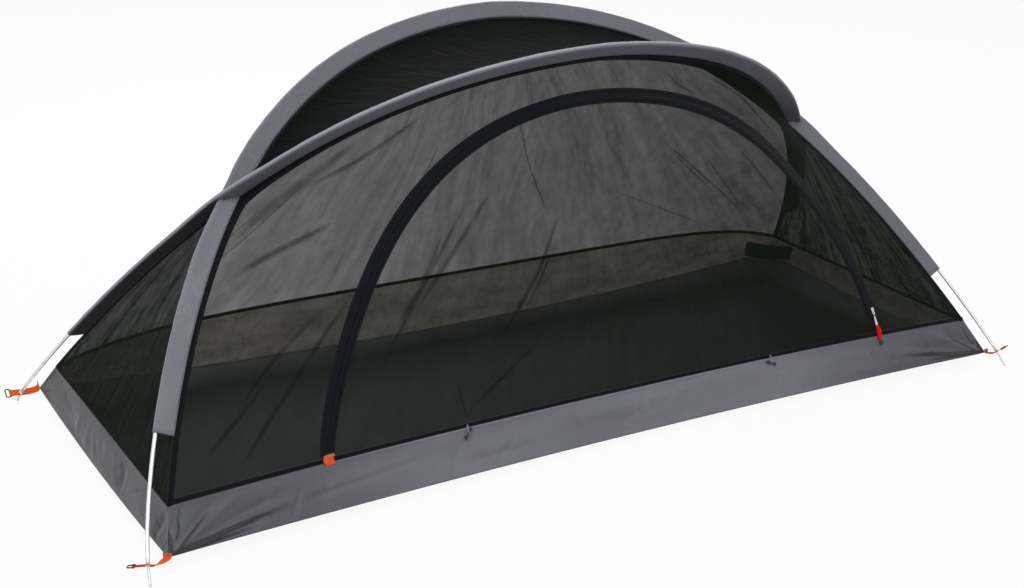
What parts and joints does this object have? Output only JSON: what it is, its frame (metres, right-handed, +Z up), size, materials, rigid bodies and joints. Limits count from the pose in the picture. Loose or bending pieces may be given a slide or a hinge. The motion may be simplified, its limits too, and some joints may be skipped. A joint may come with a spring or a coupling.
{
  "type": "mosquito net tent",
  "caption": "Low self-standing net tent on crossed pole hoops, with a waterproof floor tray, net walls and a zipped D-shaped net door.",
  "frame": {"origin": "on the ground, under the middle of the tent", "axes": "+X along the tent's length, the door faces -Y, +Z up"},
  "size_m": [2.4682, 1.0356, 0.9459],
  "materials": {
    "grey_nylon": "coated ripstop, matt",
    "black_net": "fine mesh",
    "black_tape": "woven, matt",
    "silver_alloy": "polished",
    "white_elastic": "braided elastic",
    "orange_webbing": "woven webbing",
    "red_tape": "woven tape",
    "black_plastic": "moulded, satin",
    "grey_elastic": "braided elastic"
  },
  "bodies": {
    "tent": {"corner_pocket": "black_tape", "corner_tab_front_left": "orange_webbing", "corner_tab_front_right": "orange_webbing", "corner_tab_rear_left": "orange_webbing", "corner_tab_rear_right": "orange_webbing", "floor_sheet": "grey_nylon", "front_arch_pole_section_1": "silver_alloy", "front_arch_pole_section_2": "silver_alloy", "front_arch_pole_section_3": "silver_alloy", "front_arch_pole_section_4": "silver_alloy", "front_arch_pole_section_5": "silver_alloy", "front_arch_pole_section_6": "silver_alloy", "front_arch_pole_section_7": "silver_alloy", "front_arch_shock_cord": "white_elastic", "front_arch_sleeve": "grey_nylon", "front_binding": "black_tape", "front_left_leg_sleeve": "grey_nylon", "front_net": "black_net", "front_wall": "grey_nylon", "grommet_front_left": "silver_alloy", "grommet_front_right": "silver_alloy", "grommet_rear_left": "silver_alloy", "grommet_rear_right": "silver_alloy", "left_net": "black_net", "left_wall": "grey_nylon", "pole_tip_front_left": "silver_alloy", "pole_tip_front_right": "silver_alloy", "pole_tip_rear_left": "silver_alloy", "pole_tip_rear_right": "silver_alloy", "rear_arch_pole_section_1": "silver_alloy", "rear_arch_pole_section_2": "silver_alloy", "rear_arch_pole_section_3": "silver_alloy", "rear_arch_pole_section_4": "silver_alloy", "rear_arch_pole_section_5": "silver_alloy", "rear_arch_pole_section_6": "silver_alloy", "rear_arch_pole_section_7": "silver_alloy", "rear_arch_shock_cord": "white_elastic", "rear_arch_sleeve": "grey_nylon", "rear_net": "black_net", "rear_right_leg_sleeve": "grey_nylon", "rear_wall": "grey_nylon", "right_net": "black_net", "right_wall": "grey_nylon", "roof_net": "black_net", "zip_end_tab": "orange_webbing", "zip_frame_tape": "black_tape"},
    "door": {"door_net": "black_net", "zip_door_tape": "black_tape"},
    "slider": {"zip_slider": "silver_alloy"},
    "pull": {"zip_puller": "silver_alloy", "pull_tape": "red_tape", "pull_end": "black_plastic"},
    "toggle_left": {"toggle_left": "black_plastic", "toggle_left_loop": "grey_elastic"},
    "toggle_right": {"toggle_right": "black_plastic", "toggle_right_loop": "grey_elastic"},
    "ring_front_left": {"peg_ring_front_left": "black_plastic"},
    "ring_front_right": {"peg_ring_front_right": "black_plastic"},
    "ring_rear_left": {"peg_ring_rear_left": "black_plastic"},
    "ring_rear_right": {"peg_ring_rear_right": "black_plastic"}
  },
  "joints": [
    {"name": "door_fold", "type": "hinge", "parent": "tent", "child": "door", "pos_m": [0, -0.3997, 0.1334], "axis": [1, 0, 0], "range_deg": [0, 112]},
    {"name": "zip_slide", "type": "slide", "parent": "tent", "child": "slider", "axis": [-0.0682, 0.4519, 0.8895], "range_m": [0, 0.0105]},
    {"name": "zip_pull_swing", "type": "hinge", "parent": "slider", "child": "pull", "pos_m": [0.81524, -0.3806, 0.17769], "axis": [-0.9974, -0.053, -0.0496], "range_deg": [0, 140]},
    {"name": "toggle_left_swing", "type": "hinge", "parent": "tent", "child": "toggle_left", "pos_m": [-0.42289, -0.39918, 0.13232], "axis": [-1, 0, 0], "range_deg": [0, 65]},
    {"name": "toggle_right_swing", "type": "hinge", "parent": "tent", "child": "toggle_right", "pos_m": [0.45318, -0.3995, 0.13214], "axis": [-1, 0, 0], "range_deg": [0, 65]},
    {"name": "peg_ring_front_left_swing", "type": "hinge", "parent": "tent", "child": "ring_front_left", "pos_m": [-1.22098, -0.4837, 0.03799], "axis": [0.0033, -0.7462, 0.6657], "range_deg": [-80, 80]},
    {"name": "peg_ring_front_right_swing", "type": "hinge", "parent": "tent", "child": "ring_front_right", "pos_m": [1.22098, -0.4837, 0.03799], "axis": [0.0033, 0.7462, -0.6657], "range_deg": [-80, 80]},
    {"name": "peg_ring_rear_left_swing", "type": "hinge", "parent": "tent", "child": "ring_rear_left", "pos_m": [-1.22098, 0.4837, 0.03799], "axis": [-0.0033, -0.7462, -0.6657], "range_deg": [-80, 80]},
    {"name": "peg_ring_rear_right_swing", "type": "hinge", "parent": "tent", "child": "ring_rear_right", "pos_m": [1.22098, 0.4837, 0.03799], "axis": [-0.0033, 0.7462, 0.6657], "range_deg": [-80, 80]}
  ]
}
